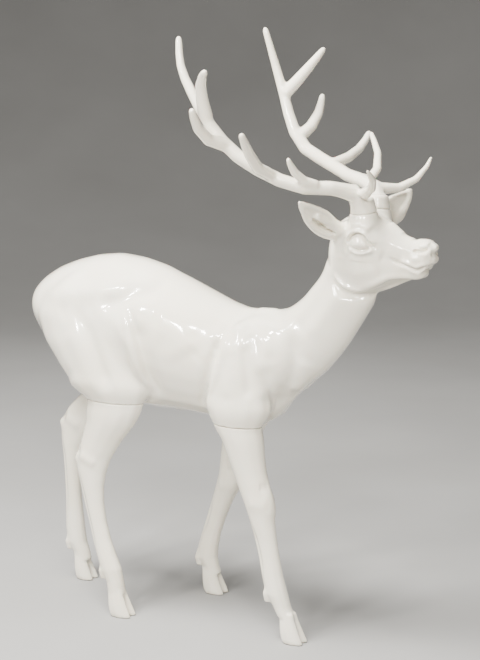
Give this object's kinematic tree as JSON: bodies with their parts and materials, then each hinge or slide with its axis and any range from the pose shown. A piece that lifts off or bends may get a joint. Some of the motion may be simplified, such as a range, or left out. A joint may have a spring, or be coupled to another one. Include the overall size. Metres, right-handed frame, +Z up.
{
  "type": "light-up reindeer figure",
  "caption": "Life-size walking stag in glossy white moulded skin with lift-off antlers, bolted-on legs, an inner steel frame and lamps behind the skin.",
  "frame": {"origin": "on the ground, under the middle of the figure's bounding box", "axes": "+X the way the stag faces, +Y its left, +Z up"},
  "size_m": [1.296, 0.7722, 1.6945],
  "materials": {
    "skin": "glossy ivory-white, translucent",
    "steel": "zinc plated",
    "aluminium": "bare",
    "lens": "frosted lamp lens",
    "black_plastic": "moulded",
    "rubber": "matt",
    "white_plastic": "moulded"
  },
  "bodies": {
    "figure": {"antler_sleeve_left": "steel", "antler_sleeve_right": "steel", "body_shell_left": "skin", "body_shell_right": "skin", "driver_box": "black_plastic", "driver_lid": "black_plastic", "ear_left": "skin", "ear_right": "skin", "fore_yoke": "steel", "gland_nut": "black_plastic", "harness": "rubber", "hatch_ring": "white_plastic", "hatch_seal": "rubber", "hind_yoke": "steel", "inlet_gland": "black_plastic", "lamp_base_chest": "aluminium", "lamp_base_loin": "aluminium", "lamp_base_neck": "aluminium", "lamp_base_rump": "aluminium", "lamp_lens_chest": "lens", "lamp_lens_loin": "lens", "lamp_lens_neck": "lens", "lamp_lens_rump": "lens", "leg_front_left": "skin", "leg_front_right": "skin", "leg_hind_left": "skin", "leg_hind_right": "skin", "leg_rod_front_left": "steel", "leg_rod_front_right": "steel", "leg_rod_hind_left": "steel", "leg_rod_hind_right": "steel", "neck_bar": "steel", "set_screw_front_left": "steel", "set_screw_front_right": "steel", "set_screw_hind_left": "steel", "set_screw_hind_right": "steel", "spine_bar": "steel", "switch_body": "black_plastic"},
    "antler_right_body": {"antler_right": "skin", "antler_pin_right": "steel"},
    "antler_left_body": {"antler_left": "skin", "antler_pin_left": "steel"},
    "hatch_cap_body": {"hatch_cap": "white_plastic"},
    "power_button_body": {"power_button": "black_plastic"}
  },
  "joints": [
    {"name": "antler_right_lift", "type": "slide", "parent": "figure", "child": "antler_right_body", "axis": [-0.0501, -0.1202, 0.9915], "range_m": [0, 0.07]},
    {"name": "antler_left_lift", "type": "slide", "parent": "figure", "child": "antler_left_body", "axis": [-0.0501, 0.1202, 0.9915], "range_m": [0, 0.07]},
    {"name": "hatch_cap_turn", "type": "hinge", "parent": "figure", "child": "hatch_cap_body", "pos_m": [-0.124, 0, 0.612], "axis": [0, 0, 1], "range_deg": [0, 50]},
    {"name": "power_button_press", "type": "slide", "parent": "figure", "child": "power_button_body", "axis": [0, 0, 1], "range_m": [0, 0.003], "stiffness_N_per_m": 400}
  ]
}
